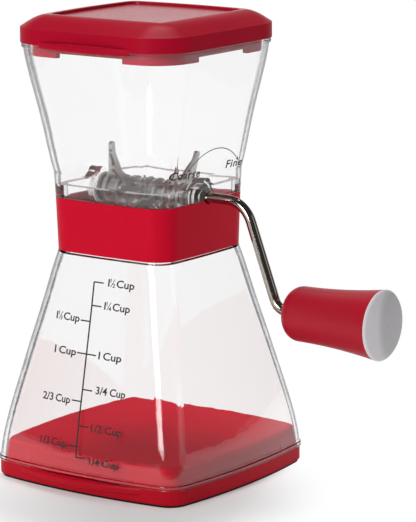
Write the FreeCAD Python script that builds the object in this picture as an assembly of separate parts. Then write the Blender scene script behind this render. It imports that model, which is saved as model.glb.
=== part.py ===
import FreeCAD
import Part
import math
import os

# A hand-cranked nut mill that stands on a square lid. Nuts go into a clear flared hopper,
# a crank turns a stack of steel tine plates between two steel combs, and the pieces drop
# into a clear jar. Turned one way the tines work against the coarse comb, and turned the
# other way against the fine comb.
#
# Millimetres. +Z is up and z = 0 is the table. The vertical axis of the mill is x = y = 0.
# The crank comes out of the +X wall. The front, with the scale and the pull lips, faces -Y.

# General fits
WALL = 2.2
SLIP_GAP = 0.35
SEAT_GAP = 0.15
RUNNING_GAP = 0.06
AXIAL_GAP = 0.1
SMALLEST_CORNER = 1.0
CUT_PAST = 1.0

# Outlines in plan: half width at mid side, how far a side bows out, corner radius
# A flare share is 1 at the wider end of a flare and 0 at its narrower end.
BASE_HALF = 50.0
BASE_BOW = 4.0
BASE_CORNER = 9.0
WAIST_HALF = 29.8
WAIST_BOW = 1.0
WAIST_CORNER = 10.0
WAIST_FLARE = 0.6
LID_HALF = 41.8
LID_BOW = 0.7
LID_CORNER = 17.7

# Heights of the stack, from the table up
PAD_PROUD = 0.8
BASE_RIM_Z = 7.2
JAR_HEIGHT = 87.3
WAIST_HEIGHT = 21.8
AXIS_RISE = 1.2
HOPPER_HEIGHT = 63.7

# Base lid
PAD_INSET = 0.8
PAD_SPIGOT = 1.6
PLUG_HEIGHT = 8.3
PLUG_TAPER = 1.3
PLUG_POCKET_HALF = 27.0
PLUG_POCKET_DEPTH = 0.7
PLUG_POCKET_RISE = 1.4
PLUG_POCKET_ROOF = 2.4
PLUG_EDGE_ROUND = 1.6
BASE_LOW_ROUND = 1.0
BASE_HIGH_ROUND = 0.5
BASE_LIP_HALF = 31.0
BASE_LIP_REACH = 3.0
BASE_LIP_THICK = 3.6

# Jar: share of its height and flare share at each section between the base and the waist
JAR_SECTIONS = ((0.148, 0.909), (0.40, 0.644), (0.605, 0.419), (0.79, 0.218), (0.93, 0.076))
JAR_RIM_BEAD = 0.5
JAR_RIM_BEAD_HEIGHT = 1.8
JAR_BEAD_ROUND = 0.4
SHOULDER_PROUD = 0.45
SHOULDER_THICK = 1.6
NECK_HEIGHT = 10.0
NECK_WALL = 2.0

# Waist housing
WAIST_WALL = 2.4
SHELF_THICK = 2.5
SHELF_LEDGE = 5.05
SHELF_HOLE_CORNER = 4.0
SNAP_HEIGHT = 1.4
SNAP_DEPTH = 0.5

# Hopper
SPIGOT_DEPTH = 6.6
KNEE_HEIGHT = 10.2
KNEE_FLARE = 1.0
STEP_HEIGHT = 5.5
HOPPER_SECTIONS = ((0.10, 0.115), (0.25, 0.258), (0.45, 0.453), (0.74, 0.775))
HOPPER_TOP_INSET = 0.9
HOPPER_RIM_GAP = 0.3
HOPPER_FLANGE_INSET = 0.4
HOPPER_FLANGE_THICK = 2.0
HOPPER_FLANGE_ROUND = 0.3
HOPPER_RIM_ABOVE_FLANGE = 3.5
BOSS_DEPTH = 4.5
BOSS_RIM = 0.5
BOSS_RIB_HALF = 2.4
BOSS_RIB_HEIGHT = 8.0

# Top lid
LID_SKIRT_HEIGHT = 6.1
LID_SKIRT_WALL = 1.4
LID_SECTIONS = ((0.45, 0.65), (0.78, 0.37))
LID_CROWN_HEIGHT = 5.0
LID_CROWN_INSET = 11.0
LID_PANEL_BOW = 1.6
LID_PANEL_CORNER = 5.0
LID_PANEL_RIM = 1.4
LID_PANEL_DEPTH = 1.2
LID_PLUG_DEPTH = 5.0
LID_PLUG_STEP = 2.0
LID_PLUG_STEP_HALF = 16.5
LID_PANEL_THICK = 2.0
LID_LIP_HALF = 23.0
LID_LIP_REACH = 3.2
LID_LIP_THICK = 3.2
LID_LIP_DROP = 1.4

# Crank rod, bent in the XZ plane
ROD_RADIUS = 2.1
ROD_FLAT = 1.6
ARM_LEAN = 20.5
CRANK_RADIUS = 42.5
ARM_START_X = 48.4
BEND_RADIUS = 12.0
GRIP_BEND_RADIUS = 6.5
ROD_BEFORE_GRIP = 1.9
ROD_PAST_NUT = 1.5

# Rotor stack on the rod, and the bushes that carry it
TINE_COUNT = 7
TINE_THICK = 1.5
TINE_TIP_GAP = 1.0
TINE_ROOT_WIDTH = 3.6
TINE_TIP_RADIUS = 1.2
TINE_PHASE = 180.0 / TINE_COUNT
TINE_HUB_RADIUS = 6.0
SPACER_RADIUS = 5.0
END_SPACER_LENGTH = 1.2
CLIP_THICK = 0.7
CLIP_RADIUS = 3.9
CLIP_GROOVE_RADIUS = 1.5
WASHER_THICK = 0.7
WASHER_RADIUS = 5.0
BUSH_RADIUS = 4.0
BUSH_FLANGE_RADIUS = 6.0
BUSH_FLANGE_THICK = 0.9
IDLE_BUSH_LENGTH = 3.4
ROD_INTO_IDLE_BUSH = 3.0

# Combs and their screws
COMB_THICK = 1.2
COMB_SIDE_GAP = 2.25
COMB_OUTER_GAP = 0.85
COMB_FLANGE_DEPTH = 6.7
COMB_TIP_Y = 2.0
FINGER_WIDTH = 2.2
SCREW_X = 12.0
SCREW_EDGE = 2.9
SCREW_RADIUS = 1.0
SCREW_HEAD_RADIUS = 1.9
SCREW_HEAD_HEIGHT = 1.1
SCREW_LENGTH = 3.4

# Grip
GRIP_LENGTH = 42.8
GRIP_NEAR_FACE_RADIUS = 5.5
GRIP_NEAR_RADIUS = 11.1
GRIP_NEAR_ROUND = 5.8
GRIP_FAR_RADIUS = 14.1
GRIP_WAIST_DIP = 0.7
GRIP_MOUTH_RADIUS = 3.4
GRIP_MOUTH_DEPTH = 1.6
GRIP_BORE_GAP = 0.1
GRIP_CUP_RADIUS = 10.0
GRIP_CUP_DEPTH = 15.0
GRIP_NUT_RADIUS = 5.0
GRIP_NUT_THICK = 0.8
GRIP_NUT_GAP = 0.2
CAP_EDGE = 0.4
CAP_CHAMFER = 0.6
CAP_DOME = 1.4
CAP_PLUG_DEPTH = 5.0
CAP_PLUG_WALL = 1.6

# Heights and planes that follow from the sizes above
JAR_TOP_Z = BASE_RIM_Z + JAR_HEIGHT
NECK_TOP_Z = JAR_TOP_Z + NECK_HEIGHT
SHELF_LOW_Z = NECK_TOP_Z + 2 * SLIP_GAP
SHELF_TOP_Z = SHELF_LOW_Z + SHELF_THICK
WAIST_TOP_Z = JAR_TOP_Z + WAIST_HEIGHT
AXIS_Z = WAIST_TOP_Z + AXIS_RISE
SPIGOT_LOW_Z = WAIST_TOP_Z - SPIGOT_DEPTH
KNEE_Z = WAIST_TOP_Z + KNEE_HEIGHT
FLANGE_TOP_Z = WAIST_TOP_Z + HOPPER_HEIGHT
HOPPER_TOP_Z = FLANGE_TOP_Z + HOPPER_RIM_ABOVE_FLANGE
LID_CREASE_Z = FLANGE_TOP_Z + LID_SKIRT_HEIGHT
LID_TOP_Z = LID_CREASE_Z + LID_CROWN_HEIGHT
PLUG_TOP_Z = BASE_RIM_Z + PLUG_HEIGHT
GRIP_Z = AXIS_Z - CRANK_RADIUS
SPIGOT_HALF = WAIST_HALF - WAIST_WALL - SLIP_GAP
THROAT_HALF = SPIGOT_HALF - NECK_WALL
SHELF_HOLE_HALF = THROAT_HALF - SHELF_LEDGE
BOSS_FACE_X = SPIGOT_HALF - BOSS_DEPTH
BUSH_X = BOSS_FACE_X - BUSH_FLANGE_THICK
WASHER_X = BUSH_X - AXIAL_GAP - WASHER_THICK
SHOULDER_X = WASHER_X - AXIAL_GAP
CLIP_X = SHOULDER_X - CLIP_THICK
STACK_END = CLIP_X - AXIAL_GAP
STACK_HALF = STACK_END - END_SPACER_LENGTH
TINE_PITCH = (2 * STACK_HALF - TINE_THICK) / (TINE_COUNT - 1)
TINE_REACH = SHELF_HOLE_HALF - TINE_TIP_GAP
COMB_OUTER_Y = THROAT_HALF - COMB_OUTER_GAP
COMB_HALF_WIDTH = THROAT_HALF - COMB_SIDE_GAP
SCREW_Y = COMB_OUTER_Y - SCREW_EDGE
ARM_END_X = ARM_START_X + CRANK_RADIUS * math.tan(math.radians(ARM_LEAN))
BEND_SPAN = math.tan(math.radians(90 - ARM_LEAN) / 2)
GRIP_START_X = ARM_END_X + GRIP_BEND_RADIUS * BEND_SPAN + ROD_BEFORE_GRIP
GRIP_END_X = GRIP_START_X + GRIP_LENGTH
NUT_X = GRIP_END_X - GRIP_CUP_DEPTH + GRIP_NUT_GAP
ROD_END_X = NUT_X + GRIP_NUT_THICK + ROD_PAST_NUT

X_AXIS = FreeCAD.Vector(1, 0, 0)
Y_AXIS = FreeCAD.Vector(0, 1, 0)
Z_AXIS = FreeCAD.Vector(0, 0, 1)
BIG = 4 * BASE_HALF


def vec(x, y, z):
    return FreeCAD.Vector(x, y, z)


class Outline:
    """A square in plan with bowed sides and round corners."""

    def __init__(self, half, side_radius, corner):
        self.half = half
        self.side_radius = side_radius
        self.corner = corner

    @classmethod
    def bowed(cls, half, bow, corner):
        chord = half - bow
        return cls(half, (chord**2 + bow**2) / (2 * bow), corner)

    def inset(self, gap):
        """The outline at a constant distance inside this one."""
        return Outline(self.half - gap, self.side_radius - gap, max(self.corner - gap, SMALLEST_CORNER))

    def wire(self, z):
        """Four side arcs and four corner arcs, anticlockwise from the front side."""
        side = self.side_radius - self.half
        reach = self.side_radius - self.corner
        centre = (math.sqrt(2 * reach**2 - side**2) - side) / 2
        spread = math.atan2(centre, centre + side)
        edge_x = self.side_radius * math.sin(spread)
        edge_y = side - self.side_radius * math.cos(spread)
        tip = centre + self.corner * math.sqrt(0.5)
        arcs = []
        for quarter in range(4):
            turn = FreeCAD.Rotation(Z_AXIS, 90 * quarter)
            points = [(-edge_x, edge_y), (0, -self.half), (edge_x, edge_y), (tip, -tip), (-edge_y, -edge_x)]
            p = [turn.multVec(vec(x, y, z)) for x, y in points]
            arcs.append(Part.Arc(p[0], p[1], p[2]).toShape())
            arcs.append(Part.Arc(p[2], p[3], p[4]).toShape())
        return Part.Wire(arcs)

    def prism(self, low, high):
        return Part.Face(self.wire(low)).extrude(vec(0, 0, high - low))


BASE = Outline.bowed(BASE_HALF, BASE_BOW, BASE_CORNER)
WAIST = Outline.bowed(WAIST_HALF, WAIST_BOW, WAIST_CORNER)
WAIST_RIM = Outline(WAIST_HALF + WAIST_FLARE, WAIST.side_radius, WAIST_CORNER)
KNEE = Outline(WAIST_HALF + KNEE_FLARE, WAIST.side_radius, WAIST_CORNER)
LID = Outline.bowed(LID_HALF, LID_BOW, LID_CORNER)
HOPPER_TOP = LID.inset(HOPPER_TOP_INSET)
COLLAR = LID.inset(LID_SKIRT_WALL + HOPPER_RIM_GAP)
PANEL = Outline.bowed(LID_HALF - LID_CROWN_INSET, LID_PANEL_BOW, LID_PANEL_CORNER)
SPIGOT = WAIST.inset(WAIST_HALF - SPIGOT_HALF)


def between(narrow, wide, share, flare):
    """An outline between two others: share sets its form and flare its half width."""
    side_radius = narrow.side_radius * (wide.side_radius / narrow.side_radius) ** share
    corner = narrow.corner + (wide.corner - narrow.corner) * share
    return Outline(narrow.half + (wide.half - narrow.half) * flare, side_radius, corner)


def skin(stations):
    """A smooth solid through outlines at their heights."""
    wires = [outline.wire(z) for outline, z in stations]
    return Part.makeLoft(wires, True, len(wires) == 2, False)


def box(low, high):
    size = [b - a for a, b in zip(low, high)]
    return Part.makeBox(size[0], size[1], size[2], vec(*low))


def rod_x(radius, low, high, z=AXIS_Z):
    """A cylinder along X, on the crank axis unless told otherwise."""
    return Part.makeCylinder(radius, high - low, vec(low, 0, z), X_AXIS)


def ring_x(outer, inner, low, high, z=AXIS_Z):
    return rod_x(outer, low, high, z).cut(rod_x(inner, low, high, z))


def edges_at(shape, z):
    """The edges that lie whole in one level."""
    level = [e for e in shape.Edges if abs(e.BoundBox.ZMin - z) < 1e-4]
    return [e for e in level if abs(e.BoundBox.ZMax - z) < 1e-4]


def lip(outline, half_length, reach, low, high):
    """A crescent pull lip on the front side of an outline."""
    rise = outline.side_radius - math.sqrt(outline.side_radius**2 - half_length**2)
    sagitta = rise + reach
    radius = (half_length**2 + sagitta**2) / (2 * sagitta)
    centre = vec(0, radius - outline.half - reach, low)
    disc = Part.makeCylinder(radius, high - low, centre)
    front = box((-half_length, -BIG, low), (half_length, -outline.half + sagitta, high))
    crescent = disc.common(front)
    soft = [e for e in edges_at(crescent, high) + edges_at(crescent, low) if e.Length > 1.5 * half_length]
    outer = [e for e in soft if e.BoundBox.YMin < -outline.half]
    return crescent.makeFillet((high - low) * 0.3, outer)


# Base


def non_slip_pad():
    """Rubber plate that closes the underside of the base lid and grips the table."""
    sole = BASE.inset(PAD_INSET).prism(0, PAD_PROUD)
    sole = sole.makeFillet(PAD_PROUD * 0.4, edges_at(sole, 0))
    spigot = BASE.inset(WALL + SEAT_GAP).prism(PAD_PROUD, PAD_PROUD + PAD_SPIGOT)
    return sole.fuse(spigot).removeSplitter()


def base_plug(inset):
    """The tapered block that fills the mouth of the jar, smaller all round by inset."""
    foot = BASE.inset(WALL + SLIP_GAP + inset)
    head = BASE.inset(WALL + SLIP_GAP + PLUG_TAPER + inset)
    return skin([(foot, BASE_RIM_Z), (head, PLUG_TOP_Z)])


def base_lid():
    """Square lid with a raised plug, hollow from below, with a pull lip in front."""
    rim = BASE.prism(PAD_PROUD, BASE_RIM_Z)
    rim = rim.makeFillet(BASE_LOW_ROUND, edges_at(rim, PAD_PROUD))
    rim = rim.makeFillet(BASE_HIGH_ROUND, edges_at(rim, BASE_RIM_Z))
    plug = base_plug(0)
    plug = plug.makeFillet(PLUG_EDGE_ROUND, edges_at(plug, PLUG_TOP_Z))
    low = BASE_RIM_Z + PLUG_POCKET_RISE
    high = PLUG_TOP_Z - PLUG_POCKET_ROOF
    for quarter in range(4):
        floor = BASE_HALF - WALL - SLIP_GAP - PLUG_TAPER - PLUG_POCKET_DEPTH
        pocket = box((-PLUG_POCKET_HALF, -BIG, low), (PLUG_POCKET_HALF, -floor, high))
        pocket.rotate(vec(0, 0, 0), Z_AXIS, 90 * quarter)
        plug = plug.cut(pocket)
    solid = rim.fuse(plug)
    solid = solid.fuse(lip(BASE, BASE_LIP_HALF, BASE_LIP_REACH, BASE_RIM_Z - BASE_LIP_THICK, BASE_RIM_Z))
    hollow = BASE.inset(WALL).prism(PAD_PROUD - CUT_PAST, BASE_RIM_Z - WALL)
    throat = base_plug(WALL).common(box((-BIG, -BIG, 0), (BIG, BIG, PLUG_TOP_Z - WALL)))
    link = BASE.inset(2 * WALL + SLIP_GAP).prism(BASE_RIM_Z - WALL - CUT_PAST, BASE_RIM_Z)
    return solid.cut(hollow).cut(throat).cut(link).removeSplitter()


# Jar


def jar_stations(inset, top):
    """Outlines up the jar wall, drawn in by inset, ending at height top."""
    stations = [(BASE.inset(inset), BASE_RIM_Z)]
    for share, flare in JAR_SECTIONS:
        outline = between(WAIST, BASE, 1 - share, flare)
        stations.append((outline.inset(inset), BASE_RIM_Z + share * JAR_HEIGHT))
    stations.append((WAIST.inset(inset - SHOULDER_PROUD), top))
    return stations


def jar():
    """Clear jar, wide at the foot and narrow at the waist, with a neck inside the housing."""
    shoulder_z = JAR_TOP_Z - SHOULDER_THICK
    body = skin(jar_stations(0, shoulder_z))
    shoulder = skin([(WAIST.inset(-SHOULDER_PROUD), shoulder_z), (WAIST, JAR_TOP_Z)])
    bead = BASE.inset(-JAR_RIM_BEAD).prism(BASE_RIM_Z, BASE_RIM_Z + JAR_RIM_BEAD_HEIGHT)
    bead = bead.makeFillet(JAR_BEAD_ROUND, edges_at(bead, BASE_RIM_Z + JAR_RIM_BEAD_HEIGHT))
    neck = SPIGOT.prism(JAR_TOP_Z, NECK_TOP_Z)
    inside = skin(jar_stations(WALL, shoulder_z))
    bore = SPIGOT.inset(NECK_WALL).prism(shoulder_z, NECK_TOP_Z)
    return body.fuse([bead, shoulder, neck]).cut(inside).cut(bore).removeSplitter()


# Mill housing and hopper


def snap_band(half, low, high):
    outline = WAIST.inset(WAIST_HALF - half)
    return outline.prism(low, high)


def mill_housing():
    """Red waist band with the shelf that carries the combs."""
    band = skin([(WAIST, JAR_TOP_Z), (WAIST_RIM, WAIST_TOP_Z)])
    inner = WAIST.inset(WAIST_WALL)
    bore = inner.prism(JAR_TOP_Z, WAIST_TOP_Z)
    shelf = inner.prism(SHELF_LOW_Z, SHELF_TOP_Z)
    hole = Outline.bowed(SHELF_HOLE_HALF, WAIST_BOW * 0.2, SHELF_HOLE_CORNER)
    shelf = shelf.cut(hole.prism(SHELF_LOW_Z, SHELF_TOP_Z))
    snap_z = (SPIGOT_LOW_Z + WAIST_TOP_Z - SNAP_HEIGHT) / 2
    gap = SNAP_DEPTH + SLIP_GAP / 2
    groove = snap_band(WAIST_HALF - WAIST_WALL + gap, snap_z - SLIP_GAP, snap_z + SNAP_HEIGHT + SLIP_GAP)
    notch = rod_x(ROD_RADIUS + 2 * SLIP_GAP, 0, BIG)
    solid = band.cut(bore.fuse(groove)).fuse(shelf).cut(notch)
    for x, y in screw_places():
        hole = Part.makeCylinder(SCREW_RADIUS + RUNNING_GAP, SHELF_THICK, vec(x, y, SHELF_LOW_Z))
        solid = solid.cut(hole)
    return solid.removeSplitter()


def hopper_stations(inset):
    """Outlines up the flared wall of the hopper, drawn in by inset."""
    height = FLANGE_TOP_Z - KNEE_Z
    stations = [(KNEE.inset(inset), KNEE_Z)]
    for share, flare in HOPPER_SECTIONS:
        outline = between(KNEE, HOPPER_TOP, share, flare)
        stations.append((outline.inset(inset), KNEE_Z + share * height))
    stations.append((HOPPER_TOP.inset(inset), FLANGE_TOP_Z))
    return stations


def flare_outline(z):
    """The hopper's outline at a height in its upper stretch."""
    (low, low_z), (high, high_z) = hopper_stations(0)[-2:]
    share = (z - low_z) / (high_z - low_z)
    return between(low, high, share, share)


def bearing_boss(side):
    """Boss with a rib above it for one bush. side is 1 at the crank and -1 at the idle end."""
    boss = rod_x(BUSH_FLANGE_RADIUS + BOSS_RIM, BOSS_FACE_X, WAIST_HALF)
    rib_top = AXIS_Z + BOSS_RIB_HEIGHT - BOSS_RIB_HALF
    rib = box((BOSS_FACE_X, -BOSS_RIB_HALF, AXIS_Z), (WAIST_HALF, BOSS_RIB_HALF, rib_top))
    boss = boss.fuse([rib, rod_x(BOSS_RIB_HALF, BOSS_FACE_X, WAIST_HALF, rib_top)])
    outside = box((SPIGOT_HALF, -BIG, 0), (BIG, BIG, WAIST_TOP_Z))
    below = box((0, -BIG, 0), (BIG, BIG, SPIGOT_LOW_Z))
    boss = boss.common(WAIST.prism(0, BIG)).cut(outside).cut(below)
    if side < 0:
        boss.rotate(vec(0, 0, 0), Z_AXIS, 180)
    return boss


def hopper():
    """Clear flared hopper with a spigot that snaps into the housing."""
    flare = skin(hopper_stations(0))
    neck = skin([(WAIST_RIM, WAIST_TOP_Z), (KNEE, KNEE_Z)])
    spigot = SPIGOT.prism(SPIGOT_LOW_Z, WAIST_TOP_Z)
    snap_z = (SPIGOT_LOW_Z + WAIST_TOP_Z - SNAP_HEIGHT) / 2
    snap = snap_band(SPIGOT_HALF + SNAP_DEPTH, snap_z, snap_z + SNAP_HEIGHT)
    flange = LID.inset(HOPPER_FLANGE_INSET).prism(FLANGE_TOP_Z - HOPPER_FLANGE_THICK, FLANGE_TOP_Z)
    flange = flange.makeFillet(HOPPER_FLANGE_ROUND, edges_at(flange, FLANGE_TOP_Z - HOPPER_FLANGE_THICK))
    collar = COLLAR.prism(FLANGE_TOP_Z - HOPPER_FLANGE_THICK, HOPPER_TOP_Z)
    solid = neck.fuse([flare, spigot, snap, flange, collar])
    step_z = WAIST_TOP_Z + STEP_HEIGHT
    throat = SPIGOT.inset(NECK_WALL)
    inside = skin(hopper_stations(WALL))
    mouth = HOPPER_TOP.inset(WALL).prism(FLANGE_TOP_Z, HOPPER_TOP_Z)
    neck_bore = KNEE.inset(WALL).prism(step_z, KNEE_Z)
    spigot_bore = throat.prism(SPIGOT_LOW_Z, step_z)
    solid = solid.cut(inside).cut(mouth).cut(neck_bore).cut(spigot_bore)
    solid = solid.fuse([bearing_boss(1), bearing_boss(-1)])
    seat = BUSH_RADIUS + RUNNING_GAP
    drive_seat = rod_x(seat, 0, SPIGOT_HALF)
    rod_hole = rod_x(ROD_RADIUS + 2 * SLIP_GAP, 0, BIG)
    idle_seat = rod_x(seat, -BOSS_FACE_X - IDLE_BUSH_LENGTH - AXIAL_GAP, 0)
    return solid.cut(drive_seat).cut(rod_hole).cut(idle_seat).removeSplitter()


# Top lid


def top_lid():
    """Square lid with a crowned edge, a sunk panel, a stepped plug skirt and a pull lip."""
    skirt = LID.prism(FLANGE_TOP_Z, LID_CREASE_Z)
    stations = [(LID, LID_CREASE_Z)]
    for share, flare in LID_SECTIONS:
        outline = between(PANEL, LID, 1 - share, flare)
        stations.append((outline, LID_CREASE_Z + share * LID_CROWN_HEIGHT))
    stations.append((PANEL, LID_TOP_Z))
    crown = skin(stations)
    pull = lip(LID, LID_LIP_HALF, LID_LIP_REACH, FLANGE_TOP_Z - LID_LIP_DROP,
               FLANGE_TOP_Z - LID_LIP_DROP + LID_LIP_THICK)
    behind = LID.inset(HOPPER_FLANGE_INSET - SLIP_GAP)
    pull = pull.cut(behind.prism(FLANGE_TOP_Z - 2 * LID_LIP_DROP, FLANGE_TOP_Z))
    plug_low, channel_high = FLANGE_TOP_Z - LID_PLUG_DEPTH, HOPPER_TOP_Z + 2 * SLIP_GAP
    plug = flare_outline(plug_low).inset(WALL + 2 * SLIP_GAP)
    channel = LID.inset(LID_SKIRT_WALL).prism(FLANGE_TOP_Z, channel_high)
    channel = channel.cut(plug.prism(FLANGE_TOP_Z, channel_high))
    ring = plug.prism(plug_low, FLANGE_TOP_Z)
    for quarter in range(4):
        step = box((-LID_PLUG_STEP_HALF, -BIG, plug_low), (LID_PLUG_STEP_HALF, 0, plug_low + LID_PLUG_STEP))
        step.rotate(vec(0, 0, 0), Z_AXIS, 90 * quarter)
        ring = ring.cut(step)
    panel_floor = LID_TOP_Z - LID_PANEL_DEPTH
    hollow = plug.inset(WALL).prism(plug_low, panel_floor - LID_PANEL_THICK)
    sunk = PANEL.inset(LID_PANEL_RIM).prism(panel_floor, LID_TOP_Z)
    solid = skirt.fuse([crown, pull, ring])
    return solid.cut(channel).cut(hollow).cut(sunk).removeSplitter()


# Combs


def screw_places():
    return [(x, y) for x in (-SCREW_X, SCREW_X) for y in (-SCREW_Y, SCREW_Y)]


def comb(side, step):
    """Stamped comb on one side of the axis, with a finger in every step-th gap between tines."""
    low, high = SHELF_TOP_Z, SHELF_TOP_Z + COMB_THICK
    inner = COMB_OUTER_Y - COMB_FLANGE_DEPTH
    plate = box((-COMB_HALF_WIDTH, inner, low), (COMB_HALF_WIDTH, COMB_OUTER_Y, high))
    first = -TINE_COUNT / 2 * TINE_PITCH
    fingers = []
    for gap in range(0, TINE_COUNT + 1, step):
        x = first + gap * TINE_PITCH
        half = FINGER_WIDTH / 2
        bar = box((x - half, COMB_TIP_Y + half, low), (x + half, inner, high))
        tip = Part.makeCylinder(half, COMB_THICK, vec(x, COMB_TIP_Y + half, low))
        fingers += [bar, tip]
    solid = plate.fuse(fingers)
    for x in (-SCREW_X, SCREW_X):
        solid = solid.cut(Part.makeCylinder(SCREW_RADIUS + SLIP_GAP, COMB_THICK, vec(x, SCREW_Y, low)))
    if side < 0:
        solid = solid.mirror(vec(0, 0, 0), Y_AXIS)
    return solid.removeSplitter()


def comb_screws():
    """Four pan-head screws that hold the combs on the shelf."""
    head_z = SHELF_TOP_Z + COMB_THICK
    screws = []
    for x, y in screw_places():
        shank = Part.makeCylinder(SCREW_RADIUS, SCREW_LENGTH, vec(x, y, head_z - SCREW_LENGTH))
        head = Part.makeCylinder(SCREW_HEAD_RADIUS, SCREW_HEAD_HEIGHT, vec(x, y, head_z))
        head = head.makeFillet(SCREW_HEAD_HEIGHT * 0.6, edges_at(head, head_z + SCREW_HEAD_HEIGHT))
        screws.append(shank.fuse(head).removeSplitter())
    return Part.makeCompound(screws)


# Crank rod and rotor


def bent_rod():
    """The round steel rod: shaft, leaning arm and the pin that the grip turns on."""
    lean = math.radians(ARM_LEAN)
    turn = 90 - ARM_LEAN
    lead, trail = BEND_RADIUS * BEND_SPAN, GRIP_BEND_RADIUS * BEND_SPAN
    down = vec(math.sin(lean), 0, -math.cos(lean))
    across = vec(math.cos(lean), 0, math.sin(lean))
    start = vec(ARM_START_X, 0, AXIS_Z) + down * lead
    finish = vec(ARM_END_X, 0, GRIP_Z) - down * trail
    shaft_low = -BOSS_FACE_X - ROD_INTO_IDLE_BUSH
    shaft = rod_x(ROD_RADIUS, shaft_low, ARM_START_X - lead)
    bend = disc(vec(ARM_START_X - lead, 0, AXIS_Z), X_AXIS)
    bend = bend.revolve(vec(ARM_START_X - lead, 0, AXIS_Z - BEND_RADIUS), Y_AXIS, turn)
    arm = Part.makeCylinder(ROD_RADIUS, (finish - start).Length, start, down)
    elbow = disc(finish, down)
    elbow = elbow.revolve(finish + across * GRIP_BEND_RADIUS, Y_AXIS, -turn)
    pin = rod_x(ROD_RADIUS, ARM_END_X + trail, ROD_END_X, GRIP_Z)
    return shaft.fuse([bend, arm, elbow, pin]).removeSplitter()


def disc(centre, normal):
    return Part.Face(Part.Wire(Part.makeCircle(ROD_RADIUS, centre, normal)))


def crank_rod():
    """The bent rod, with a drive flat from its idle end to a shoulder and a groove for the clip."""
    rod = bent_rod()
    flat = box((-BIG, -BIG, AXIS_Z + ROD_FLAT), (SHOULDER_X, BIG, BIG))
    groove = ring_x(2 * ROD_RADIUS, CLIP_GROOVE_RADIUS, -SHOULDER_X - AXIAL_GAP, -STACK_END)
    return rod.cut(flat).cut(groove).removeSplitter()


def drive_hole(low, high):
    """The D-shaped hole that fits the flat on the rod."""
    round_hole = rod_x(ROD_RADIUS + RUNNING_GAP, low, high)
    above = box((low, -BIG, AXIS_Z + ROD_FLAT + RUNNING_GAP), (high, BIG, BIG))
    return round_hole.cut(above)


def tine_plate(index):
    """Stamped steel plate with two round-tipped tines, turned a little further than the last."""
    centre = (index - (TINE_COUNT - 1) / 2) * TINE_PITCH
    low, high = centre - TINE_THICK / 2, centre + TINE_THICK / 2
    tip = TINE_REACH - TINE_TIP_RADIUS
    root = TINE_ROOT_WIDTH / 2
    points = [(-root, 0), (-TINE_TIP_RADIUS, tip), (TINE_TIP_RADIUS, tip), (root, 0)]
    corners = [vec(low, y, AXIS_Z + z) for y, z in points + points[:1]]
    blade = Part.Face(Part.makePolygon(corners)).extrude(vec(TINE_THICK, 0, 0))
    end = Part.makeCylinder(TINE_TIP_RADIUS, TINE_THICK, vec(low, 0, AXIS_Z + tip), X_AXIS)
    tine = blade.fuse(end)
    other = tine.copy()
    other.rotate(vec(0, 0, AXIS_Z), X_AXIS, 180)
    plate = rod_x(TINE_HUB_RADIUS, low, high).fuse([tine, other])
    plate.rotate(vec(0, 0, AXIS_Z), X_AXIS, index * TINE_PHASE)
    return plate.cut(drive_hole(low, high)).removeSplitter()


def spacer(index):
    """Sleeve between two tine plates, or at an end of the stack."""
    low = -STACK_HALF + (index - 1) * TINE_PITCH + TINE_THICK
    high = low + TINE_PITCH - TINE_THICK
    low, high = max(low, -STACK_END), min(high, SHOULDER_X)
    return rod_x(SPACER_RADIUS, low, high).cut(drive_hole(low, high))


def retaining_clip():
    """C-shaped clip in the rod's groove that keeps the rotor on the rod."""
    ring = ring_x(CLIP_RADIUS, CLIP_GROOVE_RADIUS + RUNNING_GAP, -CLIP_X - CLIP_THICK, -CLIP_X)
    mouth = box((-BIG, -CLIP_GROOVE_RADIUS, AXIS_Z - BIG), (0, CLIP_GROOVE_RADIUS, AXIS_Z))
    return ring.cut(mouth)


def thrust_washers():
    """A plain washer at each end of the rotor."""
    bore = ROD_RADIUS + RUNNING_GAP
    drive = ring_x(WASHER_RADIUS, bore, WASHER_X, WASHER_X + WASHER_THICK)
    idle = ring_x(WASHER_RADIUS, bore, -WASHER_X - WASHER_THICK, -WASHER_X)
    return Part.makeCompound([drive, idle])


def bush(side):
    """Flanged bush in the hopper's boss."""
    length = SPIGOT_HALF - BOSS_FACE_X if side > 0 else IDLE_BUSH_LENGTH
    sleeve = rod_x(BUSH_RADIUS, BOSS_FACE_X, BOSS_FACE_X + length)
    flange = rod_x(BUSH_FLANGE_RADIUS, BUSH_X, BOSS_FACE_X)
    solid = sleeve.fuse(flange).cut(rod_x(ROD_RADIUS + RUNNING_GAP, 0, BIG)).removeSplitter()
    if side < 0:
        solid.rotate(vec(0, 0, 0), Z_AXIS, 180)
    return solid


# Grip


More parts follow.
